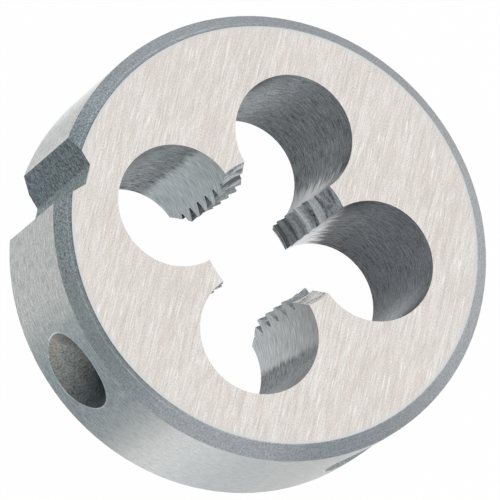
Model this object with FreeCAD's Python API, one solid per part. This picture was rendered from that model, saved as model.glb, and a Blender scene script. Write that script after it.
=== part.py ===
"""Round threading die, closed form, for cutting an M8 x 1.25 right-hand external thread.

The die is one piece of hardened tool steel: a disc with broken rims, clearance
holes that leave threaded lands between them, a lead-in cone at both faces, an
adjusting notch in the rim and conical dimples for the holder's screws.
All lengths are in millimetres and all angles in degrees. The origin is the
centre of the lower face, +Z runs up along the thread axis, and the notch
faces -Y, over one clearance hole.
"""
import FreeCAD, Part
import math
import os

from FreeCAD import Vector

# Disc, with both rims broken
outside_diameter = 25.0
thickness = 9.0
rim_chamfer_width = 0.8
rim_chamfer_height = 0.72

# Clearance holes, which carry the chips away and give the lands their cutting edges
clearance_hole_count = 4
clearance_hole_diameter = 6.8
clearance_hole_from_notch = 1.6
land_neck_width = 1.35

# Thread, right-hand, with a basic sixty degree profile
thread_diameter = 8.0
thread_pitch = 1.25
thread_flank_angle = 60.0
thread_start_angle = 146.6

# Lead-in cones, one at each face
lead_in_rim = 0.275
lead_in_length = 2.4

# Adjusting notch, a flat-bottomed V along the whole rim
notch_angle = -90.0
notch_depth = 1.48
notch_floor_width = 1.15
notch_included_angle = 90.0
notch_corner_radius = 0.12

# Dimples for the holder's screws, two pairs mirrored about the notch
dimple_diameter = 5.1
dimple_cone_angle = 90.0
near_dimple_from_notch = 48.9
far_dimple_from_notch = 134.1

# How far a cutter runs past the surface that it enters, and how many turns of thread past a face
overrun = 1.0
spare_turns = 1

# Difference below which two places count as one
same_place = 1e-6

# Thread profile worked out from its pitch: a sharp V cut to five eighths of its depth
sharp_v_depth = thread_pitch / 2 / math.tan(math.radians(thread_flank_angle / 2))
thread_depth = sharp_v_depth * 5 / 8
thread_root_flat = thread_pitch / 8
thread_root_radius = thread_diameter / 2
thread_bore_radius = thread_root_radius - thread_depth

# Pattern of the clearance holes, with the land's neck left between neighbours
clearance_hole_spacing = 360 / clearance_hole_count
first_clearance_hole_angle = notch_angle + clearance_hole_from_notch
clearance_hole_circle_radius = (
    (clearance_hole_diameter + land_neck_width) / 2
    / math.sin(math.radians(clearance_hole_spacing / 2))
)


def polar(radius, angle, height=0.0):
    """Point at a radius and an angle about the thread axis."""
    turn = math.radians(angle)
    return Vector(radius * math.cos(turn), radius * math.sin(turn), height)


def closed_wire(points):
    """Closed run of straight edges through the points."""
    return Part.makePolygon(points + points[:1])


def turned_blank():
    """Disc with broken rims, bored to the thread's inside diameter and coned at both faces."""
    outer = outside_diameter / 2
    mouth = thread_root_radius + lead_in_rim
    section = closed_wire([
        Vector(mouth, 0, 0),
        Vector(outer - rim_chamfer_width, 0, 0),
        Vector(outer, 0, rim_chamfer_height),
        Vector(outer, 0, thickness - rim_chamfer_height),
        Vector(outer - rim_chamfer_width, 0, thickness),
        Vector(mouth, 0, thickness),
        Vector(thread_bore_radius, 0, thickness - lead_in_length),
        Vector(thread_bore_radius, 0, lead_in_length),
    ])
    return Part.Face(section).revolve(Vector(), Vector(0, 0, 1), 360)


def clearance_hole_cutters():
    """Drills for the clearance holes, evenly spaced, the first one behind the notch."""
    length = thickness + 2 * overrun
    cutters = []
    for index in range(clearance_hole_count):
        angle = first_clearance_hole_angle + index * clearance_hole_spacing
        foot = polar(clearance_hole_circle_radius, angle, -overrun)
        cutters.append(Part.makeCylinder(clearance_hole_diameter / 2, length, foot))
    return cutters


def notch_cutter():
    """Bar with the notch's section, its floor corners rounded, that stands past both faces."""
    floor = outside_diameter / 2 - notch_depth
    half_floor = notch_floor_width / 2
    reach = notch_depth + overrun
    half_mouth = half_floor + reach * math.tan(math.radians(notch_included_angle / 2))
    section = closed_wire([
        Vector(floor, -half_floor, -overrun),
        Vector(floor + reach, -half_mouth, -overrun),
        Vector(floor + reach, half_mouth, -overrun),
        Vector(floor, half_floor, -overrun),
    ])
    bar = Part.Face(section).extrude(Vector(0, 0, thickness + 2 * overrun))
    floor_corners = [edge for edge in bar.Edges if is_floor_corner(edge, floor)]
    bar = bar.makeFillet(notch_corner_radius, floor_corners)
    bar.rotate(Vector(), Vector(0, 0, 1), notch_angle)
    return bar


def is_floor_corner(edge, floor):
    """True for an upright edge of the notch's bar that lies in the plane of its floor."""
    start, end = [vertex.Point for vertex in edge.Vertexes]
    upright = abs(start.z - end.z) > thickness
    return upright and abs(start.x - floor) < same_place


def dimple_cutters():
    """Countersinks at half the thickness that point at the thread axis."""
    slope = math.tan(math.radians(dimple_cone_angle / 2))
    depth = dimple_diameter / 2 / slope
    length = depth + overrun
    cutters = []
    for offset in (near_dimple_from_notch, far_dimple_from_notch):
        for angle in (notch_angle - offset, notch_angle + offset):
            tip = polar(outside_diameter / 2 - depth, angle, thickness / 2)
            cutters.append(Part.makeCone(0, length * slope, length, tip, polar(1, angle)))
    return cutters


def groove_arc(span):
    """Stretch of the thread's groove, swept along the helix through an angle from +X.

    The groove's section is the V between two flanks. It is as wide as the root flat at
    the root, and it opens inwards to a mouth just inside the bore.
    """
    mouth_radius = thread_bore_radius - thread_root_flat
    half_root = thread_root_flat / 2
    flank_run = (thread_root_radius - mouth_radius) * math.tan(math.radians(thread_flank_angle / 2))
    half_mouth = half_root + flank_run
    section = closed_wire([
        Vector(thread_root_radius, 0, -half_root),
        Vector(thread_root_radius, 0, half_root),
        Vector(mouth_radius, 0, half_mouth),
        Vector(mouth_radius, 0, -half_mouth),
    ])
    rise = thread_pitch * span / 360
    helix = Part.makeHelix(thread_pitch, rise, thread_root_radius)
    return Part.Wire(helix.Edges).makePipeShell([section], True, True)


def thread_cutters():
    """One groove arc for each turn of the thread at each land.

    An arc spans two thirds of the spacing of the clearance holes, so that it crosses the
    whole land and ends in the open space of the holes beside it.
    """
    span = clearance_hole_spacing * 2 / 3
    arc = groove_arc(span)
    cutters = []
    for index in range(clearance_hole_count):
        start = first_clearance_hole_angle + (index + 0.5) * clearance_hole_spacing - span / 2
        rise_to_start = thread_pitch * (start - thread_start_angle) / 360
        first_turn = math.floor(-rise_to_start / thread_pitch) - spare_turns
        last_turn = math.ceil((thickness - rise_to_start) / thread_pitch) + spare_turns
        for turn in range(first_turn, last_turn):
            cutter = arc.copy()
            cutter.rotate(Vector(), Vector(0, 0, 1), start)
            cutter.translate(Vector(0, 0, rise_to_start + turn * thread_pitch))
            cutters.append(cutter)
    return cutters


def threading_die():
    """The whole die: a turned blank that every hole, notch, dimple and groove is cut from."""
    die = turned_blank()
    die = die.cut(clearance_hole_cutters())
    die = die.cut([notch_cutter()] + dimple_cutters())
    return die.cut(thread_cutters())


os.makedirs("parts", exist_ok=True)
die = threading_die()
die.exportStep("parts/threading_die.step")
print("solids", len(die.Solids), "faces", len(die.Faces), "valid", die.isValid())
print("volume", round(die.Volume, 2), "mm3")
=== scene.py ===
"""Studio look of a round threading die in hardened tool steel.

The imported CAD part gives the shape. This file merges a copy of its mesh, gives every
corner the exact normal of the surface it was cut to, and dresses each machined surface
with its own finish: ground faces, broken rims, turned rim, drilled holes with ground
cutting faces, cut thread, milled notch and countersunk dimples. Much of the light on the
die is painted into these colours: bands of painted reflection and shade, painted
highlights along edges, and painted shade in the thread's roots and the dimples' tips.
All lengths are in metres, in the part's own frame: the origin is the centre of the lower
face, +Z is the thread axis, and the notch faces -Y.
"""

import logging
import math
from dataclasses import dataclass
from enum import Enum
from typing import Optional, Union

import bpy
import numpy as np
from mathutils import Matrix, Vector

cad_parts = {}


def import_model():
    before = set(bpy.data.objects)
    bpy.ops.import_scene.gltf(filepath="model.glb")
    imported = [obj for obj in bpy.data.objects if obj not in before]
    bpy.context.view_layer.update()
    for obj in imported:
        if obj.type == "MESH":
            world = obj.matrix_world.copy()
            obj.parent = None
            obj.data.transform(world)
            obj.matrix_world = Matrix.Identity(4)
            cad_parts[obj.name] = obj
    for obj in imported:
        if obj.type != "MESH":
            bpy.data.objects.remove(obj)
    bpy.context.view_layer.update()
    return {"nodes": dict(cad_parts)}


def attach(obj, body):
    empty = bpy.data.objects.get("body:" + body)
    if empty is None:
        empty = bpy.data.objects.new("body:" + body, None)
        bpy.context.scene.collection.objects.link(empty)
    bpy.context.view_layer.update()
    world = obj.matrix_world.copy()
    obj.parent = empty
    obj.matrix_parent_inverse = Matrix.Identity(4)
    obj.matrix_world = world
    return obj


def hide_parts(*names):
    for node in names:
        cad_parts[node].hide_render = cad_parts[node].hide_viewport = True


CAD_NODE = "threading_die"
BODY = "root"
MILLIMETRE = 0.001

# Curve of screen colours
SCREEN_WHITE = 255
SCREEN_OFFSET = 0.055
SCREEN_POWER = 2.4

# Length below which a row counts as having none
SHORTEST = 1e-12

# Reach of a land's band on both sides, in degrees
LAND_REACH = 44.0

Number = Union[int, float]
Colour = tuple[float, float, float]
Levels = tuple[float, float, float]
Scales = tuple[float, float, float]
Place = tuple[float, float, float]

log = logging.getLogger("threading_die_scene")


class Cut(Enum):
    """Machined surfaces of the die, each with a finish of its own."""

    FACE = "ground_face"
    CHAMFER = "broken_rim"
    RIM = "turned_rim"
    HOLE = "drilled_hole"
    LEAD_IN = "lead_in_cone"
    CREST = "thread_crest"
    FLANK = "thread_flank"
    NOTCH = "milled_notch"
    DIMPLE = "countersunk_dimple"


class Layer(Enum):
    """Data that the die's mesh carries for its materials."""

    PATTERN = "cut_pattern"
    # Colour of the steel with its painted reflection, highlight and shade
    TONE = "steel_tone_and_painted_light"
    # Colour of the ground cutting faces, partly painted reflection
    GROUND_TONE = "ground_tone_and_painted_light"
    GROUND_REACH = "ground_reach"
    GROUND_TEETH = "ground_teeth"


def linear(levels: Union[Levels, np.ndarray]) -> np.ndarray:
    """Linear values of screen levels: ((level / white + offset) / (1 + offset)) to the power."""
    share = np.clip(levels, 0, SCREEN_WHITE) / SCREEN_WHITE
    return ((share + SCREEN_OFFSET) / (1 + SCREEN_OFFSET)) ** SCREEN_POWER


def colour(red: int, green: int, blue: int) -> Colour:
    """Linear colour of a screen colour of 0 to 255."""
    return tuple(linear((red, green, blue)).tolist())


def grey(value: float) -> tuple[float, float, float, float]:
    """Even grey for a colour socket."""
    return (value, value, value, 1.0)


@dataclass(frozen=True)
class DieSizes:
    """Sizes of the die, in metres and degrees, as the part's source has them."""

    outer_radius: float = 12.5 * MILLIMETRE
    thickness: float = 9.0 * MILLIMETRE
    chamfer_width: float = 0.8 * MILLIMETRE
    chamfer_height: float = 0.72 * MILLIMETRE
    hole_radius: float = 3.4 * MILLIMETRE
    hole_count: int = 4
    hole_from_notch: float = 1.6
    land_neck: float = 1.35 * MILLIMETRE
    thread_radius: float = 4.0 * MILLIMETRE
    thread_pitch: float = 1.25 * MILLIMETRE
    lead_in_rim: float = 0.275 * MILLIMETRE
    lead_in_length: float = 2.4 * MILLIMETRE
    notch_angle: float = -90.0
    dimple_radius: float = 2.55 * MILLIMETRE
    dimple_offsets: tuple[float, float] = (48.9, 134.1)

    @property
    def thread_depth(self) -> float:
        """Depth of the thread: five eighths of the height of a sharp V of sixty degrees."""
        return self.thread_pitch * math.sqrt(3) / 2 * 5 / 8

    @property
    def face_radius(self) -> float:
        """Radius of a ground face, inside its chamfer."""
        return self.outer_radius - self.chamfer_width

    @property
    def mouth_radius(self) -> float:
        """Radius of a lead-in cone at the face."""
        return self.thread_radius + self.lead_in_rim

    @property
    def bore_radius(self) -> float:
        """Inside radius of the thread, at the tips of its teeth."""
        return self.thread_radius - self.thread_depth

    @property
    def hole_circle(self) -> float:
        """Radius of the circle that the clearance holes stand on."""
        half_gap = math.radians(180 / self.hole_count)
        return (self.hole_radius + self.land_neck / 2) / math.sin(half_gap)

    def hole_angles(self) -> list[float]:
        """Angles of the clearance holes about the thread axis, in degrees."""
        first = self.notch_angle + self.hole_from_notch
        return [first + index * 360 / self.hole_count for index in range(self.hole_count)]

    def dimple_angles(self) -> list[float]:
        """Angles of the dimples about the thread axis, in degrees."""
        return [self.notch_angle + side * offset
                for offset in self.dimple_offsets for side in (-1, 1)]


def unit(rows: np.ndarray) -> np.ndarray:
    """Rows scaled to length one, with rows of no length left as they are."""
    length = np.linalg.norm(rows, axis=-1, keepdims=True)
    return rows / np.maximum(length, SHORTEST)


def outward(angle: float) -> Place:
    """Direction away from the thread axis at an angle in degrees: (cos, sin, 0)."""
    turn = math.radians(angle)
    return (math.cos(turn), math.sin(turn), 0.0)


@dataclass(frozen=True)
class Band:
    """Painted band of light or shade along a machined surface, standing in for reflections and
    shade.

    The change is whole at the centre and falls to nothing at the reach on both sides, as a
    raised cosine. Angles are in degrees. The change is in screen levels of 0 to 255, one
    number or one for each of red, green and blue. The rise, painted light too, adds to it
    towards the upper face and takes from it towards the lower one.
    """

    centre: float
    reach: float
    change: Union[float, Levels]
    rise: float = 0.0

    def at(self, angle: np.ndarray, share: Union[Number, np.ndarray]) -> np.ndarray:
        """Change of the levels.

        Args:
            angle: Angles about the surface's axis, in degrees.
            share: Height as a share of the thickness, one for all or one for each angle.

        Returns:
            The changes of red, green and blue, one row for each angle.
        """
        away = np.abs((angle - self.centre + 180) % 360 - 180) / self.reach
        weight = (1 + np.cos(math.pi * np.minimum(away, 1))) / 2
        lift = weight * self.rise * (share - 0.5)
        return weight[..., None] * np.broadcast_to(self.change, 3) + lift[..., None]


def land_band(index: int, change: Union[float, Levels], rise: float = 0.0) -> Band:
    """Painted band of light or shade over one land of the thread, counted counterclockwise from
    the notch.

    Args:
        index: Number of the land, from 0.
        change: Change at the middle of the land.
        rise: What it gains towards the upper face.

    Returns:
        The band, with its angle from +Y.
    """
    sizes = DieSizes()
    spacing = 360 / sizes.hole_count
    middle = sizes.hole_from_notch - 180 + (index + 0.5) * spacing
    return Band(middle, LAND_REACH, change, rise)


@dataclass(frozen=True)
class Tone:
    """Colour of the steel with painted light and shade, in screen levels of 0 to 255.

    It has plain levels, painted bands of reflection and shade by the angle about the surface's
    axis, and a painted-light rise from the lower face to the upper one, which leaves the levels
    as they are at half the thickness.
    """

    plain: Levels
    bands: tuple[Band, ...] = ()
    rise: float = 0.0

    def at(self, angle: np.ndarray, share: Union[Number, np.ndarray] = 0.5) -> np.ndarray:
        """Linear colour of the steel, with its painted light and shade.

        Args:
            angle: Angles about the surface's axis, in degrees.
            share: Height as a share of the thickness, one for all or one for each angle.

        Returns:
            The colours, one row for each angle.
        """
        rise = np.broadcast_to(self.rise * (share - 0.5), angle.shape)
        levels = np.array(self.plain) + rise[..., None]
        return linear(levels + sum(band.at(angle, share) for band in self.bands))


@dataclass(frozen=True)
class GroundZone:
    """Ground cutting face on one side of a clearance hole, next to a land.

    It starts at an angle from the outermost line of the hole, as softly as the feather is
    long, with ragged teeth whose length is in feathers. The start and the colour change
    evenly from the lower face to the upper one. The colour is partly that of the ground steel
    and partly painted reflection, lighter or darker from hole to hole.
    """

    low_start: float = 104.0
    high_start: float = 104.0
    low: Levels = (150, 158, 162)
    high: Levels = (150, 158, 162)
    feather: float = 0.9 * MILLIMETRE
    teeth: float = 1.0

    def reach(self, angle: np.ndarray, share: np.ndarray, radius: float) -> np.ndarray:
        """Distance past the zone's start along the wall, in feathers."""
        start = self.low_start + (self.high_start - self.low_start) * share
        return np.radians(np.abs(angle) - start) * radius / self.feather

    def tone(self, share: np.ndarray) -> np.ndarray:
        """Linear colour of the zone, with its painted reflection, at a share of the die's
        thickness.
        """
        low, high = np.array(self.low), np.array(self.high)
        return linear(low + (high - low) * share[..., None])


@dataclass(frozen=True)
class HoleLook:
    """Tones of one clearance hole, with painted reflection and shade: its drilled wall and its two
    cutting faces.
    """

    drilled: Tone
    before: GroundZone = GroundZone()
    after: GroundZone = GroundZone()


@dataclass(frozen=True)
class Palette:
    """Colours of the die's surfaces, in screen levels, each the steel's colour with painted light:
    the levels, bands and rises hold painted reflection, highlight and shade.

    The bands of the rim and the chamfers are placed by the angle from +Y, counterclockwise.
    The holes go counterclockwise from the one at the notch.
    """

    # Rim: bands of painted reflection and shade round the axis, some lighter towards the upper
    # face
    rim: Tone = Tone((188, 191, 189), (
        Band(-160, 30, -5), Band(-134, 18, (-49, -41, -36)), Band(-119, 16, (-46, -41, -36)),
        Band(-101, 8, 5), Band(-97, 18, 18), Band(-86, 20, (-3, -2, 2)), Band(-52, 16, 12),
        Band(130, 50, 54), Band(146, 16, 24, 14), Band(162, 10, -6),
        Band(176, 10, (14, 16, 19), 30)))
    # Chamfers: bands of painted reflection and shade round the axis
    chamfer: Tone = Tone((158, 163, 168), (
        Band(-158, 50, (-18, -14, -15)), Band(-138, 40, (-1, -1, -3)),
        Band(-130, 14, (-12, -10, -9)), Band(-118, 9, (-8, -6, -5)), Band(-95, 35, 19),
        Band(-80, 12, 4), Band(-62, 26, (-6, -4, -2)), Band(-42, 20, -4),
        Band(5, 65, (20, 18, 16)), Band(48, 36, (5, 3, 1)), Band(135, 40, 10),
        Band(159, 15, (1, 6, 6)), Band(173, 12, (-10, -5, -5))))
    # Lead-in cones: painted reflection over one land and painted shade over another
    lead_in: Tone = Tone((212, 218, 222), (land_band(1, (44, 36, 30)), land_band(2, -55)))
    # Crests and flanks: painted reflection and shade in bands by land, and painted light rising
    # towards the upper face
    crest: Tone = Tone((124, 128, 131), (
        land_band(0, 80), land_band(2, -8, 80), land_band(3, -32)), 40)
    flank: Tone = Tone((163, 169, 172), (
        land_band(0, 80), land_band(1, 44, -130), land_band(2, -12, 130),
        land_band(3, 0, -60)), 40)
    # Root of the groove: painted shade, darker than the flanks, with bands by land and painted
    # light rising towards the upper face
    root: Tone = Tone((111, 115, 118), (
        land_band(0, 56, 34), land_band(1, 60, -236), land_band(2, -2, 95),
        land_band(3, -40, -60)), 102)
    # Notch: one milled steel as painted shade on its side walls and painted light on its floor
    notch_wall: Tone = Tone((101, 113, 118))
    notch_floor: Tone = Tone((126, 139, 141))
    # Dimples: one steel as lit and shaded copies, the near pair with a broad band of painted shade
    near_dimple: Tone = Tone((138, 140, 137), (Band(75, 108, (-86, -81, -75)),))
    far_dimple: Tone = Tone((140, 148, 148))
    # Holes: drilled walls and ground faces with painted reflection and shade, differing from hole
    # to hole, and painted light rising towards the upper face
    holes: tuple[HoleLook, ...] = (
        HoleLook(Tone((118, 125, 128), (Band(-92, 14, -13),), 2),
                 GroundZone(98, 100, (162, 170, 174), (177, 185, 187))),
        HoleLook(Tone((122, 127, 130), (Band(92, 16, -13),), 10), GroundZone(),
                 GroundZone(104.5, 96, (185, 190, 193), (169, 172, 171))),
        HoleLook(Tone((83, 88, 93), (Band(-23, 36, 61), Band(95, 50, 0, 28)), 20), GroundZone(),
                 GroundZone(105, 126, (232, 234, 234), (205, 207, 209), 1.3 * MILLIMETRE, 2.2)),
        HoleLook(Tone((92, 98, 102), (Band(27, 54, 50, 30), Band(-95, 40, 0, 28)), 20),
                 GroundZone(91, 108, (146, 151, 155), (238, 239, 238), 1.4 * MILLIMETRE, 2.2)),
    )


@dataclass(frozen=True)
class Plane:
    """Flat surface through a height, with its normal along Z."""

    height: float
    up: float

    def miss(self, points: np.ndarray) -> np.ndarray:
        """Distance of each point from the plane."""
        return np.abs(points[..., 2] - self.height)

    def normals(self, points: np.ndarray) -> np.ndarray:
        """The plane's one normal, repeated for each point."""
        return np.broadcast_to((0.0, 0.0, self.up), points.shape)

    def place(self, points: np.ndarray) -> tuple[np.ndarray, np.ndarray]:
        """X, and Y, as they are."""
        return points[..., 0], points[..., 1]

    def angle(self, points: np.ndarray) -> np.ndarray:
        """A plane has no axis to turn about."""
        return np.zeros(points.shape[:-1])


@dataclass(frozen=True)
class Turned:
    """Cone or cylinder about an axis.

    With q the distance from the axis and h the height along it, the surface is
    q = radius + slope * h. Its normal leans away from the axis where side is 1 and
    towards it where side is -1. Angles about the axis run from the line opposite the seam.
    """

    centre: Place
    axis: Place
    radius: float
    slope: float
    side: float
    seam: Place

    def split(self, points: np.ndarray) -> tuple[np.ndarray, np.ndarray, np.ndarray]:
        """Place points about the axis.

        Args:
            points: Points anywhere.

        Returns:
            Height along the axis, distance from it and the direction away from it.
        """
        offset = points - np.array(self.centre)
        axis = np.array(self.axis)
        height = offset @ axis
        flat = offset - height[..., None] * axis
        return height, np.linalg.norm(flat, axis=-1), unit(flat)

    def miss(self, points: np.ndarray) -> np.ndarray:
        """Distance of each point from the surface, measured square to it."""
        height, distance, _ = self.split(points)
        return np.abs(distance - self.radius - self.slope * height) / math.hypot(1, self.slope)

    def normals(self, points: np.ndarray) -> np.ndarray:
        """Exact normal at each point: away from the axis, tilted back by the slope."""
        _, _, away = self.split(points)
        return self.side * unit(away - self.slope * np.array(self.axis))

    def angle(self, points: np.ndarray) -> np.ndarray:
        """Angle about the axis, kept whole across each triangle.

        Args:
            points: Corners of triangles.

        Returns:
            The angles in degrees.
        """
        _, _, away = self.split(points)
        start = -np.array(self.seam)
        across = np.cross(np.array(self.axis), start)
        turn = np.degrees(np.arctan2(away @ across, away @ start))
        first = turn[:, :1]
        return first + (turn - first + 180) % 360 - 180

    def place(self, points: np.ndarray) -> tuple[np.ndarray, np.ndarray]:
        """Arc length along the surface, and height along its axis.

        A cone that is stated from its tip has no radius, and its mean distance is used.

        Args:
            points: Corners of triangles that lie on the surface.

        Returns:
            The arc lengths and the heights.
        """
        height, distance, _ = self.split(points)
        reach = self.radius if self.radius > 0 else float(distance.mean())
        return np.radians(self.angle(points)) * reach, height


@dataclass(frozen=True)
class Flank:
    """Side of the thread's groove, a helical surface.

    The groove's centre line climbs one pitch a turn. At a distance q from the axis the
    flank lies above or below it by half the groove's width there, which grows inwards
    with the tangent of the flank's angle. The normal is the gradient of that relation.
    """

    pitch: float
    above: float
    lean: float = 30.0

    def normals(self, points: np.ndarray) -> np.ndarray:
        """Exact normal of the flank.

        With u up, a away from the axis, t the tangent of the lean and c the direction round
        the axis times pitch / (2 pi q), it points along -above * (u - c) - t * a.

        Args:
            points: Points on the flank.

        Returns:
            The normals.
        """
        away = unit(points * np.array([1.0, 1.0, 0.0]))
        along = np.stack([-away[..., 1], away[..., 0], np.zeros(away.shape[:-1])], axis=-1)
        distance = np.linalg.norm(points[..., :2], axis=-1)
        climb = (self.pitch / (2 * math.pi * distance))[..., None] * along
        up = np.array([0.0, 0.0, 1.0])
        return unit(-self.above * (up - climb) - math.tan(math.radians(self.lean)) * away)


@dataclass(frozen=True)
class Region:
    """One machined surface: where it lies, which cut made it, and its tones.

    A ground face has its colours in its finish, and a plain grey stands in its place here.
    """

    cut: Cut
    surface: Union[Plane, Turned]
    tone: Tone = Tone((150, 150, 150))
    look: Optional[HoleLook] = None


class Shader:
    """Builds the nodes of one material or world."""

    def __init__(self, owner: Union[bpy.types.Material, bpy.types.World]) -> None:
        """Clear the owner's nodes and keep its tree.

        Args:
            owner: Material or world to build in.
        """
        owner.use_nodes = True
        self.tree = owner.node_tree
        self.tree.nodes.clear()

    def node(self, kind: str, settings: Optional[dict[str, object]] = None,
             inputs: Optional[dict[Union[str, int], object]] = None,
             output: Union[str, int] = 0) -> "Socket":
        """Add any node.

        Args:
            kind: Blender's type name of the node.
            settings: Properties that are set first, such as an operation.
            inputs: Values or links of its sockets, by name or number.
            output: Which output to give back.

        Returns:
            The chosen output, wrapped for arithmetic.
        """
        made = self.tree.nodes.new(kind)
        for name, value in (settings or {}).items():
            setattr(made, name, value)
        for name, value in (inputs or {}).items():
            if isinstance(value, Socket):
                self.tree.links.new(value.socket, made.inputs[name])
            else:
                made.inputs[name].default_value = value
        return Socket(self, made.outputs[output])

    def mix(self, factor: "Socket", low: Union["Socket", Colour],
            high: Union["Socket", Colour]) -> "Socket":
        """Mix two colours by a share."""
        ends = [end if isinstance(end, Socket) else (*end, 1) for end in (low, high)]
        return self.node("ShaderNodeMix", {"data_type": "RGBA"},
                         {0: factor, 6: ends[0], 7: ends[1]}, output=2)

    def blend(self, factor: "Socket", low: Union["Socket", Number],
              high: Union["Socket", Number]) -> "Socket":
        """Mix two numbers by a share."""
        return self.node("ShaderNodeMix", {"data_type": "FLOAT"}, {0: factor, 2: low, 3: high})

    def scaled(self, vector: Union["Socket", Colour], factor: "Socket") -> "Socket":
        """A colour or vector times a number."""
        return self.node("ShaderNodeVectorMath", {"operation": "SCALE"},
                         {0: vector, "Scale": factor})

    def object_place(self) -> "Socket":
        """Place on the die, in metres of its own frame."""
        return self.node("ShaderNodeTexCoord", output="Object")

    def surface_place(self) -> "Socket":
        """Place on the machined surface: along its cut, and across it, in metres."""
        return self.node("ShaderNodeUVMap", {"uv_map": Layer.PATTERN.value})

    def carried(self, layer: Layer, output: str = "Color") -> "Socket":
        """Colour or number that the mesh carries."""
        return self.node("ShaderNodeAttribute", {"attribute_name": layer.value}, output=output)

    def part(self, vector: "Socket", index: int) -> "Socket":
        """One part of a vector: 0 for X, 1 for Y, 2 for Z."""
        return self.node("ShaderNodeSeparateXYZ", None, {0: vector}, index)

    def grain(self, place: "Socket", scales: Scales, turn: float = 0.0, detail: float = 2.0,
              fine: float = 0.5) -> "Socket":
        """Noise that is drawn out along one direction.

        Args:
            place: Coordinates to read.
            scales: Features per metre along the first, second and third direction.
            turn: Turn of the pattern about Z, in degrees.
            detail: Octaves of the noise.
            fine: Strength of the finer octaves.

        Returns:
            The noise, around 0 with both signs.
        """
        turned = self.node("ShaderNodeMapping", {"vector_type": "TEXTURE"},
                           {0: place, 2: (0.0, 0.0, math.radians(turn))})
        drawn = self.node("ShaderNodeVectorMath", {"operation": "MULTIPLY"},
                          {0: turned, 1: scales})
        return self.node("ShaderNodeTexNoise", {"noise_dimensions": "3D"},
                         {"Vector": drawn, "Scale": 1.0, "Detail": detail,
                          "Roughness": fine}) - 0.5

    def speckle(self, scale: float, detail: float = 2.0, fine: float = 0.5) -> "Socket":
        """Noise on the die that is even in all directions, with features per metre."""
        return self.grain(self.object_place(), (scale,) * 3, 0.0, detail, fine)

    def bump(self, height: "Socket", depth: float) -> "Socket":
        """Normal of a relief, whose height is a share of its depth in metres."""
        return self.node("ShaderNodeBump", None,
                         {"Height": height, "Strength": 1.0, "Distance": depth})

    def output(self, surface: "Socket", kind: str = "ShaderNodeOutputMaterial") -> None:
        """Link a shader to the tree's output."""
        end = self.tree.nodes.new(kind)
        self.tree.links.new(surface.socket, end.inputs[0])


class Socket:
    """Output of a node, with arithmetic that adds Math nodes."""

    def __init__(self, shader: Shader, socket: bpy.types.NodeSocket) -> None:
        """Wrap an output of a node in the shader's tree."""
        self.shader = shader
        self.socket = socket

    def _math(self, operation: str, first: object, second: object = 0.0) -> "Socket":
        """Add one Math node on two numbers or sockets."""
        return self.shader.node("ShaderNodeMath", {"operation": operation},
                                {0: first, 1: second})

    def __add__(self, other: Union["Socket", Number]) -> "Socket":
        """Sum."""
        return self._math("ADD", self, other)

    __radd__ = __add__

    def __sub__(self, other: Union["Socket", Number]) -> "Socket":
        """Difference."""
        return self._math("SUBTRACT", self, other)

    def __rsub__(self, other: Number) -> "Socket":
        """Difference from a number."""
        return self._math("SUBTRACT", other, self)

    def __mul__(self, other: Union["Socket", Number]) -> "Socket":
        """Product."""
        return self._math("MULTIPLY", self, other)

    __rmul__ = __mul__

    def size(self) -> "Socket":
        """The value without its sign."""
        return self._math("ABSOLUTE", self)

    def root(self) -> "Socket":
        """Square root."""
        return self._math("SQRT", self)

    def step(self, start: float, end: float) -> "Socket":
        """Smooth step from 0 at start to 1 at end."""
        return self.shader.node("ShaderNodeMapRange", {"interpolation_type": "SMOOTHSTEP"},
                                {0: self, 1: start, 2: end, 3: 0.0, 4: 1.0})

    def line(self, centre: float, half_width: float) -> "Socket":
        """Soft line: 1 where the value is the centre, 0 past the half width."""
        return 1 - (self - centre).size().step(0.0, half_width)


@dataclass(frozen=True)
class Finish:
    """Look of one machined surface of hardened steel.

    The grain lightens the steel by the contrast, makes it smoother by the swing and stands
    out by the relief.
    """

    name: str
    contrast: float
    roughness: float
    swing: float = 0.20
    relief: float = 0.008 * MILLIMETRE
    metallic: float = 1.0
    sizes: DieSizes = DieSizes()

    def build(self) -> bpy.types.Material:
        """Make the material.

        Returns:
            The finished material.
        """
        material = bpy.data.materials.new(self.name)
        shader = Shader(material)
        grain = self.grain(shader)
        surface = shader.node("ShaderNodeBsdfPrincipled", None, {
            "Base Color": self.steel(shader, grain),
            "Metallic": self.metallic,
            "Roughness": self.roughness - self.swing * grain,
            "Normal": shader.bump(grain, self.relief),
        })
        shader.output(surface)
        return material

    def grain(self, shader: Shader) -> Socket:
        """Grain of the cut, around 0, which lightens the steel where it is above 0."""
        raise NotImplementedError

    def steel(self, shader: Shader, grain: Socket) -> Socket:
        """Colour of the steel: its tone with painted light, lightened or darkened by the grain and
        by the painted highlight and shade along the edge.
        """
        factor = (1 + self.contrast * grain) * self.edge(shader)
        return shader.scaled(shader.carried(Layer.TONE), factor)

    def edge(self, shader: Shader) -> Union[Socket, Number]:
        """Factor of the painted highlight and shade along the surface's edges; none here."""
        return 1.0


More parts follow.
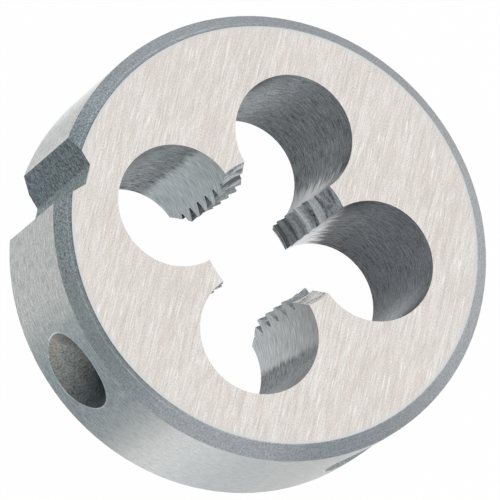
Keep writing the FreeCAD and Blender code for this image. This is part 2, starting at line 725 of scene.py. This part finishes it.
@dataclass(frozen=True)
class GroundFace(Finish):
    """Ground face: straight parallel streaks and scratches, pale and warm, with a cooler
    painted highlight along its outer edge.
    """

    cool: Colour = colour(231, 227, 223)
    warm: Colour = colour(223, 215, 209)
    # Cooler colour of the painted highlight along the outer edge
    edge_highlight_colour: Colour = colour(213, 219, 219)
    streak_turn: float = -2.4
    long_scales: Scales = (280.0, 14000.0, 280.0)
    long_share: float = 0.20
    short_scales: Scales = (1400.0, 15000.0, 1400.0)
    short_share: float = 0.28
    speckle_scales: Scales = (12000.0, 14000.0, 12000.0)
    speckle_share: float = 0.32
    scratch_scales: Scales = (900.0, 13000.0, 900.0)
    scratch_turn: float = -0.9
    scratch_band: tuple[float, float] = (0.14, 0.30)
    scratch_share: float = 0.16
    drift_scales: Scales = (500.0, 5000.0, 500.0)
    drift_gain: float = 2.0
    grain_gain: float = 1.6
    # Width and strength of the painted highlight along the outer edge
    edge_highlight_width: float = 0.26 * MILLIMETRE
    edge_highlight_share: float = 0.85

    def grain(self, shader: Shader) -> Socket:
        """Long and short streaks and a few scratches along one direction, over a speckle.

        Args:
            shader: Builder of the material.

        Returns:
            The grain, around 0.
        """
        place = shader.object_place()
        long = shader.grain(place, self.long_scales, self.streak_turn, detail=1.0)
        short = shader.grain(place, self.short_scales, self.streak_turn, detail=1.0)
        scratches = shader.grain(place, self.scratch_scales, self.scratch_turn, detail=0.0)
        speckle = shader.grain(place, self.speckle_scales, detail=0.0)
        streaks = long * self.long_share + short * self.short_share
        return streaks + speckle * self.speckle_share \
            + scratches.step(*self.scratch_band) * self.scratch_share

    def steel(self, shader: Shader, grain: Socket) -> Socket:
        """Pale steel with a warmer cast in slow drifts and between the streaks, and a painted
        highlight along its outer edge.

        Args:
            shader: Builder of the material.
            grain: Grain of the cut, around 0.

        Returns:
            The colour.
        """
        drift = shader.grain(shader.object_place(), self.drift_scales, self.streak_turn,
                             detail=1.0)
        cast = (0.5 + self.drift_gain * drift - self.grain_gain * grain).step(0.0, 1.0)
        ground = shader.scaled(shader.mix(cast, self.cool, self.warm), 1 + self.contrast * grain)
        # Painted highlight along the outer edge, mixed over the ground steel
        return shader.mix(self.edge_highlight(shader) * self.edge_highlight_share, ground, self.edge_highlight_colour)

    def edge_highlight(self, shader: Shader) -> Socket:
        """Painted highlight: a light line along the face's outer edge.

        Args:
            shader: Builder of the material.

        Returns:
            Where the line is: 1 on the edge, 0 inside it.
        """
        place = shader.object_place()
        x, y = shader.part(place, 0), shader.part(place, 1)
        inside = self.sizes.face_radius - (x * x + y * y).root()
        return inside.line(0.0, self.edge_highlight_width)


@dataclass(frozen=True)
class CutSteel(Finish):
    """Turned, drilled or milled surface: grain along the cut, mixed with specks."""

    along: float = 900.0
    across: float = 6000.0
    speck: float = 6000.0
    speck_share: float = 0.5
    fine: float = 0.6

    def grain(self, shader: Shader) -> Socket:
        """Marks drawn out along the cut, mixed with an even speckle.

        Args:
            shader: Builder of the material.

        Returns:
            The grain, around 0.
        """
        scales = (self.along, self.across, 1.0)
        marks = shader.grain(shader.surface_place(), scales, fine=self.fine)
        specks = shader.speckle(self.speck, fine=self.fine)
        return marks * (1 - self.speck_share) + specks * self.speck_share


@dataclass(frozen=True)
class TurnedRim(CutSteel):
    """Rim, rougher near the notch, with a fine painted highlight round the mouth of each dimple.

    The rough part starts and ends at arc lengths from the point opposite the notch.
    """

    rough_start: float = 23.0 * MILLIMETRE
    rough_end: float = 27.0 * MILLIMETRE
    smooth_share: float = 0.45
    # Painted highlight round each dimple's mouth: its noise, strength, swing, place and width
    mouth_highlight_scale: float = 700.0
    mouth_highlight_gain: float = 0.45
    mouth_highlight_swing: float = 1.6
    mouth_highlight_place: float = 0.03 * MILLIMETRE
    mouth_highlight_width: float = 0.10 * MILLIMETRE

    def grain(self, shader: Shader) -> Socket:
        """Marks and specks, weaker away from the notch."""
        near = shader.part(shader.surface_place(), 0).size().step(self.rough_start, self.rough_end)
        return super().grain(shader) * shader.blend(near, self.smooth_share, 1.0)

    def edge(self, shader: Shader) -> Socket:
        """Painted highlight: a light broken line just outside the mouth of each countersink.

        Args:
            shader: Builder of the material.

        Returns:
            The factor on the steel's colour.
        """
        # Painted highlight: broken light line round both pairs of countersinks
        mouth_highlight = self.mouth_highlight_gain + self.mouth_highlight_swing * shader.speckle(self.mouth_highlight_scale, detail=1.0)
        near, far = (self.past_mouth(shader, offset).line(self.mouth_highlight_place, self.mouth_highlight_width)
                     for offset in self.sizes.dimple_offsets)
        return 1 + mouth_highlight * near + mouth_highlight * far

    def past_mouth(self, shader: Shader, offset: float) -> Socket:
        """Distance outside a pair of countersinks, whose walls lie at 45 degrees.

        With q the distance from the nearer axis, d the depth below the rim along it and r the
        radius of the mouth, it is q + d - r.

        Args:
            shader: Builder of the material.
            offset: Angle between the notch and either countersink, in degrees.

        Returns:
            The distance, in metres.
        """
        place = shader.object_place()
        x, y = shader.part(place, 0).size(), shader.part(place, 1)
        height = shader.part(place, 2) - self.sizes.thickness / 2
        east, north, _ = outward(self.sizes.notch_angle + offset)
        along = x * east + y * north
        across = x * north - y * east
        reach = (across * across + height * height).root() + (self.sizes.outer_radius - along)
        return reach - self.sizes.dimple_radius


@dataclass(frozen=True)
class BrokenRim(CutSteel):
    """Chamfer with a thin line beside the ground face: painted shade near the notch, painted
    highlight elsewhere.

    Starts and ends are arc lengths from the point opposite the notch.
    """

    light_end: float = 19.0 * MILLIMETRE
    dark_start: float = 25.0 * MILLIMETRE
    rough_start: float = 28.0 * MILLIMETRE
    rough_end: float = 34.0 * MILLIMETRE
    # Painted highlight and shade of the line beside the ground face, and the broken painted
    # highlight below it
    light_gain: float = 0.30
    dark_gain: float = -0.35
    top_width: float = 0.07 * MILLIMETRE
    lower_gain: float = 0.30
    lower_place: float = 0.17 * MILLIMETRE
    lower_width: float = 0.05 * MILLIMETRE
    wander_scales: Scales = (900.0, 0.0, 0.0)
    wander_depth: float = 0.10 * MILLIMETRE

    def grain(self, shader: Shader) -> Socket:
        """Marks and specks, twice as strong near the notch."""
        near = shader.part(shader.surface_place(), 0).size()
        return super().grain(shader) * (1 + near.step(self.rough_start, self.rough_end))

    def edge(self, shader: Shader) -> Socket:
        """Painted line along the ground face, shade near the notch and highlight elsewhere, with a
        broken painted highlight just below it.

        Args:
            shader: Builder of the material.

        Returns:
            The factor on the steel's colour.
        """
        place = shader.surface_place()
        below = shader.part(place, 1).size()
        near_notch = shader.part(place, 0).size().step(self.light_end, self.dark_start)
        wander = shader.grain(place, self.wander_scales)
        top = shader.blend(near_notch, self.light_gain, self.dark_gain)
        lower_line = (below + self.wander_depth * wander).line(self.lower_place, self.lower_width)
        # Painted highlight and shade along the face's edge, and the painted highlight below it
        return 1 + top * below.line(0.0, self.top_width) \
            + (self.lower_gain * near_notch + wander) * lower_line


@dataclass(frozen=True)
class DrilledHole(CutSteel):
    """Drilled wall with its cutting faces ground paler along a slant, the paleness partly the
    ground steel and partly painted reflection.

    The drilled part is more pitted low down and towards the cutting faces, by the arc length
    from the hole's outermost line. A lift makes up for the darkness of the pits.
    """

    soft: float = 0.26
    teeth_scales: Scales = (600.0, 4500.0, 1.0)
    teeth_fine: float = 0.55
    slant: float = 26.0
    line_scales: Scales = (1300.0, 13000.0, 1.0)
    line_share: float = 0.46
    pit_scales: Scales = (1900.0, 8000.0, 1.0)
    pit_turn: float = 3.0
    pit_full: float = 0.14
    pitting: float = 0.50
    pits_low: float = 1.4
    pits_high: float = 0.5
    lift: float = 0.15
    side_start: float = 3.0 * MILLIMETRE
    side_end: float = 5.2 * MILLIMETRE
    side_gain: float = 0.8
    # Painted shade along the hole's edge at the upper face
    edge_gain: float = -0.22
    edge_width: float = 0.12 * MILLIMETRE

    def steel(self, shader: Shader, grain: Socket) -> Socket:
        """Drilled tone up to the ragged start of the ground zone, then the ground tone, both with
        painted reflection and shade, and painted shade along the upper edge.

        Args:
            shader: Builder of the material.
            grain: Grain of the cut, around 0.

        Returns:
            The colour.
        """
        place = shader.surface_place()
        teeth = shader.grain(place, self.teeth_scales, fine=self.teeth_fine)
        ragged = shader.carried(Layer.GROUND_TEETH, "Fac") * teeth
        ground = (shader.carried(Layer.GROUND_REACH, "Fac") + ragged).step(-self.soft, self.soft)
        drilled = shader.scaled(shader.carried(Layer.TONE),
                                1 + self.contrast * grain + self.pitted(shader))
        lines = shader.grain(place, self.line_scales, self.slant, fine=self.fine)
        polished = shader.scaled(shader.carried(Layer.GROUND_TONE),
                                 1 + self.contrast * self.line_share * lines)
        return shader.scaled(shader.mix(ground, drilled, polished), self.edge(shader))

    def pitted(self, shader: Shader) -> Socket:
        """Pits, drawn out along the wall, that darken the drilled steel.

        Args:
            shader: Builder of the material.

        Returns:
            What they add to the factor on the steel's colour.
        """
        place = shader.surface_place()
        spots = shader.grain(place, self.pit_scales, self.pit_turn, detail=1.0, fine=self.fine)
        fall = (self.pits_low - self.pits_high) / self.sizes.thickness
        pits = (self.pits_low - shader.part(place, 1) * fall) * spots.step(0.0, self.pit_full)
        side = shader.part(place, 0).size().step(self.side_start, self.side_end)
        return (1 + self.side_gain * side) * (self.lift - self.pitting * pits)

    def edge(self, shader: Shader) -> Socket:
        """Painted shade: a thin dark line along the edge at the upper face."""
        height = shader.part(shader.surface_place(), 1)
        return 1 + self.edge_gain * height.line(self.sizes.thickness, self.edge_width)


@dataclass(frozen=True)
class Dimple(CutSteel):
    """Countersink with a mottled wall, brown in places, with painted shade towards its tip and
    painted light at its mouth.

    The dark end and the light start are heights above the tip.
    """

    # Painted shade towards the tip and painted light at the mouth
    dark_end: float = 0.6 * MILLIMETRE
    light_start: float = 2.5 * MILLIMETRE
    dark_share: float = 0.50
    light_share: float = 1.18
    patch_scale: float = 900.0
    patch_gain: float = 2.5
    cool_cast: Colour = (0.96, 1.01, 1.03)
    brown_cast: Colour = (1.06, 1.0, 0.96)
    mottle_scale: float = 1500.0
    mottle_share: float = 0.9

    def edge(self, shader: Shader) -> Socket:
        """Painted shade at the tip and painted light at the mouth, by the height above the tip."""
        height = shader.part(shader.surface_place(), 1)
        return shader.blend(height.step(self.dark_end, self.light_start), self.dark_share,
                            self.light_share)

    def steel(self, shader: Shader, grain: Socket) -> Socket:
        """Tone with slow brown patches and a mottle, and the painted shade and light of its edge.

        Args:
            shader: Builder of the material.
            grain: Grain of the cut, around 0.

        Returns:
            The colour.
        """
        patches = (0.5 + self.patch_gain * shader.speckle(self.patch_scale)).step(0.0, 1.0)
        cast = shader.mix(patches, self.cool_cast, self.brown_cast)
        tinted = shader.node("ShaderNodeVectorMath", {"operation": "MULTIPLY"},
                             {0: shader.carried(Layer.TONE), 1: cast})
        mottle = self.mottle_share * shader.speckle(self.mottle_scale)
        factor = (1 + self.contrast * grain + mottle) * self.edge(shader)
        return shader.scaled(tinted, factor)


@dataclass
class DieBody:
    """The die's shown surface: the CAD node's own mesh with exact normals and finishes.

    A triangle belongs to a surface where its corners lie within the tolerance and the cosine
    of the angle between the two normals is above the likeness. In the notch, a wall that
    faces -Y more than its two sides do has the floor's tone, painted light that makes it
    lighter than the side walls. Points merge where they round to the same step, a tenth of a
    micrometre.
    """

    sizes: DieSizes = DieSizes()
    palette: Palette = Palette()
    tolerance: float = 0.02 * MILLIMETRE
    likeness: float = 0.9
    flank_likeness: float = 0.97
    side_cosine: float = 0.7
    steps_per_metre: float = 1e7
    no_reach: float = -9.0

    def regions(self) -> list[Region]:
        """Every plane, cylinder and cone that the die was cut to.

        Returns:
            The regions, each tried in turn against every triangle.
        """
        sizes, look = self.sizes, self.palette
        up, back = (0.0, 0.0, 1.0), (0.0, -1.0, 0.0)
        low, high = (0.0, 0.0, 0.0), (0.0, 0.0, sizes.thickness)
        rim = Turned(low, up, sizes.outer_radius, 0.0, 1.0, back)
        crest = Turned(low, up, sizes.bore_radius, 0.0, -1.0, back)
        root = Turned(low, up, sizes.thread_radius, 0.0, -1.0, back)
        regions = [
            Region(Cut.FACE, Plane(sizes.thickness, 1.0)), Region(Cut.FACE, Plane(0.0, -1.0)),
            Region(Cut.RIM, rim, look.rim), Region(Cut.CREST, crest, look.crest),
            Region(Cut.FLANK, root, look.flank),
        ]
        slope = sizes.chamfer_width / sizes.chamfer_height
        lead_slope = (sizes.mouth_radius - sizes.bore_radius) / sizes.lead_in_length
        for face, side in ((low, 1.0), (high, -1.0)):
            chamfer = Turned(face, up, sizes.face_radius, side * slope, 1.0, back)
            lead_in = Turned(face, up, sizes.mouth_radius, -side * lead_slope, -1.0, back)
            regions += [Region(Cut.CHAMFER, chamfer, look.chamfer),
                        Region(Cut.LEAD_IN, lead_in, look.lead_in)]
        for angle, hole in zip(sizes.hole_angles(), look.holes):
            out_x, out_y, _ = outward(angle)
            centre = (sizes.hole_circle * out_x, sizes.hole_circle * out_y, 0.0)
            wall = Turned(centre, up, sizes.hole_radius, 0.0, -1.0, (-out_x, -out_y, 0.0))
            regions.append(Region(Cut.HOLE, wall, hole.drilled, hole))
        tip = sizes.outer_radius - sizes.dimple_radius
        dimple_tones = (look.near_dimple,) * 2 + (look.far_dimple,) * 2
        for angle, tone in zip(sizes.dimple_angles(), dimple_tones):
            out_x, out_y, _ = outward(angle)
            apex = (tip * out_x, tip * out_y, sizes.thickness / 2)
            cone = Turned(apex, (out_x, out_y, 0.0), 0.0, 1.0, -1.0, up)
            regions.append(Region(Cut.DIMPLE, cone, tone))
        return regions

    def build(self, node: bpy.types.Object) -> bpy.types.Object:
        """Make the shown piece from the CAD node.

        Args:
            node: The CAD node, which is left as it is.

        Returns:
            The piece, in place in the part's frame.
        """
        mesh = self.merged_copy(node)
        corners = self.corner_places(mesh)
        flat = unit(np.cross(corners[:, 1] - corners[:, 0], corners[:, 2] - corners[:, 0]))
        normals = np.repeat(flat[:, None, :], 3, axis=1)
        place, tone = self.notch_walls(corners, flat)
        layers = {Layer.TONE: tone, Layer.GROUND_TONE: tone.copy(),
                  Layer.GROUND_REACH: np.full(tone.shape[:2], self.no_reach),
                  Layer.GROUND_TEETH: np.ones(tone.shape[:2])}
        cuts = np.full(len(corners), list(Cut).index(Cut.NOTCH))
        free = np.ones(len(corners), bool)
        middle = corners.mean(axis=1)
        for region in self.regions():
            exact = region.surface.normals(middle)
            on_it = free & (region.surface.miss(corners).max(axis=1) < self.tolerance)
            on_it &= np.einsum("ij,ij->i", exact, flat) > self.likeness
            if on_it.any():
                normals[on_it] = region.surface.normals(corners[on_it])
                place[on_it] = np.stack(region.surface.place(corners[on_it]), axis=-1)
                cuts[on_it] = list(Cut).index(region.cut)
                self.tones(region, corners[on_it], on_it, layers)
                free &= ~on_it
        self.thread_flanks(corners, flat, free, normals, cuts, layers[Layer.TONE])
        self.store(mesh, normals, place, cuts, layers)
        piece = bpy.data.objects.new("steel_die", mesh)
        bpy.context.scene.collection.objects.link(piece)
        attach(piece, BODY)
        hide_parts(CAD_NODE)
        counts = {cut.value: int((cuts == index).sum()) for index, cut in enumerate(Cut)}
        log.info("steel_die: %d triangles, %s", len(corners), counts)
        return piece

    def tones(self, region: Region, corners: np.ndarray, on_it: np.ndarray,
              layers: dict[Layer, np.ndarray]) -> None:
        """Write a region's tones into the layers.

        Args:
            region: The machined surface.
            corners: Corners of its triangles.
            on_it: Which triangles of the mesh they are.
            layers: Corner values of the whole mesh, changed here.
        """
        angle = region.surface.angle(corners)
        share = corners[..., 2] / self.sizes.thickness
        layers[Layer.TONE][on_it] = region.tone.at(angle, share)
        if region.look:
            before = angle.mean(axis=1) < 0
            for zone, chosen in ((region.look.before, before), (region.look.after, ~before)):
                rows = np.flatnonzero(on_it)[chosen]
                reach = zone.reach(angle[chosen], share[chosen], self.sizes.hole_radius)
                layers[Layer.GROUND_REACH][rows] = reach
                layers[Layer.GROUND_TONE][rows] = zone.tone(share[chosen])
                layers[Layer.GROUND_TEETH][rows] = zone.teeth

    def merged_copy(self, node: bpy.types.Object) -> bpy.types.Mesh:
        """Copy of the node's mesh with its loose triangles joined.

        Args:
            node: The CAD node.

        Returns:
            A new mesh of joined triangles.
        """
        source = node.data
        places = np.zeros(len(source.vertices) * 3, np.float32)
        source.vertices.foreach_get("co", places)
        places = places.reshape(-1, 3)
        corner = np.zeros(len(source.loops), np.int32)
        source.loops.foreach_get("vertex_index", corner)
        keys = np.round(places.astype(float) * self.steps_per_metre).astype(np.int64)
        _, first, joined = np.unique(keys, axis=0, return_index=True, return_inverse=True)
        triangles = joined.reshape(-1)[corner].reshape(-1, 3)
        whole = (triangles[:, 0] != triangles[:, 1]) & (triangles[:, 1] != triangles[:, 2])
        whole &= triangles[:, 2] != triangles[:, 0]
        mesh = bpy.data.meshes.new("steel_die")
        mesh.from_pydata(places[first].tolist(), [], triangles[whole].tolist())
        return mesh

    @staticmethod
    def corner_places(mesh: bpy.types.Mesh) -> np.ndarray:
        """Places of the corners of every triangle.

        Args:
            mesh: Mesh of triangles.

        Returns:
            The places, as triangles by corners by X, Y and Z.
        """
        places = np.zeros(len(mesh.vertices) * 3)
        mesh.vertices.foreach_get("co", places)
        corner = np.zeros(len(mesh.loops), np.int32)
        mesh.loops.foreach_get("vertex_index", corner)
        return places.reshape(-1, 3)[corner].reshape(-1, 3, 3)

    def notch_walls(self, corners: np.ndarray, flat: np.ndarray) -> tuple[np.ndarray, np.ndarray]:
        """Pattern places and tones of upright walls, of which the notch's are the last left.

        Args:
            corners: Corners of the triangles.
            flat: Normals of the triangles.

        Returns:
            Place across the wall and height, and the tone, for each corner.
        """
        across = unit(np.cross(np.array([0.0, 0.0, 1.0]), flat))
        level = np.einsum("ijk,ik->ij", corners, across)
        # Painted light and shade: the more a wall faces -Y, the more it takes the notch floor's
        # lighter tone
        floor = np.clip((-flat[:, 1] - self.side_cosine) / (1 - self.side_cosine), 0, 1)
        plain = np.zeros(corners.shape[:2])
        wall, bottom = self.palette.notch_wall.at(plain), self.palette.notch_floor.at(plain)
        tone = wall + (bottom - wall) * floor[:, None, None]
        return np.stack([level, corners[..., 2]], axis=-1), tone

    def thread_flanks(self, corners: np.ndarray, flat: np.ndarray, free: np.ndarray,
                      normals: np.ndarray, cuts: np.ndarray, tone: np.ndarray) -> None:
        """Give the thread's flanks their helical normals, and a tone darkened towards the root by
        painted shade.

        Args:
            corners: Corners of the triangles.
            flat: Normals of the triangles.
            free: Triangles that no region holds yet.
            normals: Corner normals, changed here.
            cuts: Number of each triangle's cut, changed here.
            tone: Corner tones, changed here.
        """
        sizes = self.sizes
        reach = np.linalg.norm(corners[..., :2], axis=-1)
        middle = corners.mean(axis=1)
        inside = free & (reach.max(axis=1) < sizes.mouth_radius + self.tolerance)
        cuts[inside] = list(Cut).index(Cut.FLANK)
        depth = np.clip((reach[inside] - sizes.bore_radius) / sizes.thread_depth, 0, 1)
        turn = np.degrees(np.arctan2(corners[inside, :, 1], corners[inside, :, 0])) - 90
        share = corners[inside, :, 2] / sizes.thickness
        flank_tone, root_tone = (look.at(turn, share)
                                 for look in (self.palette.flank, self.palette.root))
        # Painted shade: the tone goes from the flank's to the darker root's with depth in the
        # groove
        tone[inside] = flank_tone + (root_tone - flank_tone) * depth[..., None]
        for above in (-1.0, 1.0):
            flank = Flank(sizes.thread_pitch, above)
            likeness = np.einsum("ij,ij->i", flank.normals(middle), flat)
            near = inside & (likeness > self.flank_likeness)
            if near.any():
                normals[near] = flank.normals(corners[near])

    @staticmethod
    def store(mesh: bpy.types.Mesh, normals: np.ndarray, place: np.ndarray,
              cuts: np.ndarray, layers: dict[Layer, np.ndarray]) -> None:
        """Write the normals, the pattern places, the layers and the material numbers.

        Args:
            mesh: Mesh of triangles.
            normals: Corner normals.
            place: Corner places on the machined surface, in metres.
            cuts: Number of each triangle's cut.
            layers: Corner values by layer.
        """
        pattern = mesh.uv_layers.new(name=Layer.PATTERN.value)
        pattern.data.foreach_set("uv", place.reshape(-1).astype(np.float32))
        for layer, values in layers.items():
            if values.ndim == 3:
                made = mesh.attributes.new(layer.value, "FLOAT_COLOR", "CORNER")
                whole = np.concatenate([values, np.ones_like(values[..., :1])], axis=-1)
                made.data.foreach_set("color", whole.reshape(-1).astype(np.float32))
            else:
                made = mesh.attributes.new(layer.value, "FLOAT", "CORNER")
                made.data.foreach_set("value", values.reshape(-1).astype(np.float32))
        mesh.polygons.foreach_set("material_index", cuts.astype(np.int32))
        mesh.polygons.foreach_set("use_smooth", np.ones(len(cuts), bool))
        mesh.normals_split_custom_set(normals.reshape(-1, 3).tolist())
        mesh.update()


def finishes() -> dict[Cut, Finish]:
    """Choose the finish of every machined surface.

    Returns:
        The finishes by the cut that made the surface.
    """
    made = (
        GroundFace(Cut.FACE.value, contrast=1.0, roughness=0.38, swing=0.10,
                   relief=0.003 * MILLIMETRE),
        BrokenRim(Cut.CHAMFER.value, contrast=1.5, roughness=0.45, along=2000, across=11000,
                  speck=11000, speck_share=0.85),
        TurnedRim(Cut.RIM.value, contrast=2.7, roughness=0.42, swing=0.15,
                  relief=0.004 * MILLIMETRE, along=1700, across=8000, speck=10000,
                  speck_share=0.42),
        DrilledHole(Cut.HOLE.value, contrast=4.3, roughness=0.42, along=1100, across=8000,
                    speck=10000, speck_share=0.48),
        CutSteel(Cut.LEAD_IN.value, contrast=5.0, roughness=0.70, metallic=0.5, along=900,
                 across=3600, speck=9000, speck_share=0.4),
        CutSteel(Cut.CREST.value, contrast=4.0, roughness=0.38, along=600, across=8000,
                 speck=9000, speck_share=0.5),
        CutSteel(Cut.FLANK.value, contrast=3.0, roughness=0.42, along=600, across=8000,
                 speck=9000, speck_share=0.35),
        CutSteel(Cut.NOTCH.value, contrast=5.4, roughness=0.50, along=2500, across=5000,
                 speck=8000, speck_share=0.6),
        Dimple(Cut.DIMPLE.value, contrast=2.2, roughness=0.46, along=3000, across=3000,
               speck=9000, speck_share=0.9),
    )
    return {Cut(finish.name): finish for finish in made}


@dataclass
class Camera:
    """Camera at the photograph's viewing angle."""

    azimuth: float = 51.418
    elevation: float = 64.454
    roll: float = 53.022
    distance: float = 0.33724
    target: Place = (-0.000297, 0.000042, 0.0045)
    lens: float = 443.7
    sensor: float = 36.0
    near_end: float = 0.01
    far_end: float = 10.0

    def build(self) -> bpy.types.Object:
        """Make the camera and set it as the scene's own.

        Returns:
            The camera object.
        """
        turn, rise = math.radians(self.azimuth), math.radians(self.elevation)
        back = Vector((math.sin(turn) * math.cos(rise), -math.cos(turn) * math.cos(rise),
                       math.sin(rise)))
        data = bpy.data.cameras.new("camera")
        data.lens = self.lens
        data.sensor_width = self.sensor
        data.clip_start = self.near_end
        data.clip_end = self.far_end
        camera = bpy.data.objects.new("camera", data)
        bpy.context.scene.collection.objects.link(camera)
        camera.rotation_mode = "QUATERNION"
        level = (-back).to_track_quat("-Z", "Y").to_matrix()
        rolled = level @ Matrix.Rotation(math.radians(self.roll), 3, "Z")
        camera.rotation_quaternion = rolled.to_quaternion()
        camera.location = Vector(self.target) + back * self.distance
        bpy.context.scene.camera = camera
        return camera


@dataclass(frozen=True)
class Softbox:
    """Square soft lamp that faces the die: its place and side in metres, its power in watts."""

    name: str
    place: Place
    side: float
    power: float

    def build(self) -> bpy.types.Object:
        """Make the lamp.

        Returns:
            The lamp object.
        """
        data = bpy.data.lights.new(self.name, "AREA")
        data.shape = "SQUARE"
        data.size = self.side
        data.energy = self.power
        lamp = bpy.data.objects.new(self.name, data)
        bpy.context.scene.collection.objects.link(lamp)
        lamp.location = self.place
        lamp.rotation_mode = "QUATERNION"
        lamp.rotation_quaternion = (-Vector(self.place)).to_track_quat("-Z", "Y")
        return lamp


@dataclass
class Studio:
    """Pale floor, soft lamps and an even world."""

    floor_size: float = 2.0
    floor_drop: float = 0.02 * MILLIMETRE
    floor_white: float = 0.985
    paper_grey: float = 0.86
    world_grey: float = 0.80
    lamps: tuple[Softbox, ...] = (
        Softbox("far_softbox", (-0.30, 0.24, 0.80), side=0.60, power=0.28),
        Softbox("right_softbox", (0.10, 0.70, 0.30), side=0.45, power=0.10),
    )

    def build(self) -> None:
        """Make the floor, the world and the lamps."""
        self.floor()
        self.world()
        for lamp in self.lamps:
            lamp.build()

    def floor(self) -> bpy.types.Object:
        """Make the floor, which looks white and keeps a little shadow.

        It has one side only, so that the die's lower face can be looked at from below.

        Returns:
            The floor object.
        """
        half, level = self.floor_size / 2, -self.floor_drop
        corners = [(-half, -half, level), (half, -half, level), (half, half, level),
                   (-half, half, level)]
        mesh = bpy.data.meshes.new("floor")
        mesh.from_pydata(corners, [], [(0, 1, 2, 3)])
        floor = bpy.data.objects.new("floor", mesh)
        bpy.context.scene.collection.objects.link(floor)
        material = bpy.data.materials.new("pale_paper")
        shader = Shader(material)
        paper = shader.node("ShaderNodeBsdfDiffuse", None, {"Color": grey(self.paper_grey)})
        white = shader.node("ShaderNodeEmission", None, {"Color": grey(1.0), "Strength": 1.0})
        seen = shader.node("ShaderNodeLightPath", output="Is Camera Ray")
        mirrored = shader.node("ShaderNodeLightPath", output="Is Glossy Ray")
        passed = shader.node("ShaderNodeLightPath", output="Is Transmission Ray")
        share = (seen + mirrored + passed) * self.floor_white
        above = shader.node("ShaderNodeMixShader", None, {0: share, 1: paper, 2: white})
        below = shader.node("ShaderNodeBsdfTransparent")
        underside = shader.node("ShaderNodeNewGeometry", output="Backfacing")
        shader.output(shader.node("ShaderNodeMixShader", None,
                                  {0: underside, 1: above, 2: below}))
        mesh.materials.append(material)
        return floor

    def world(self) -> None:
        """Make the even grey world."""
        world = bpy.data.worlds.new("studio")
        bpy.context.scene.world = world
        shader = Shader(world)
        even = shader.node("ShaderNodeBackground", None,
                           {"Color": grey(self.world_grey), "Strength": 1.0})
        shader.output(even, "ShaderNodeOutputWorld")


def main() -> None:
    """Load the part, dress it, light it and place the camera."""
    logging.basicConfig(level=logging.INFO, format="%(message)s")
    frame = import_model()
    die = DieBody().build(frame["nodes"][CAD_NODE])
    looks = finishes()
    for cut in Cut:
        die.data.materials.append(looks[cut].build())
        log.info("finish %s", cut.value)
    Studio().build()
    log.info("studio: floor, world and lamps")
    Camera().build()
    log.info("camera")
    bpy.context.scene.view_settings.view_transform = "Standard"


if __name__ == "__main__":
    main()
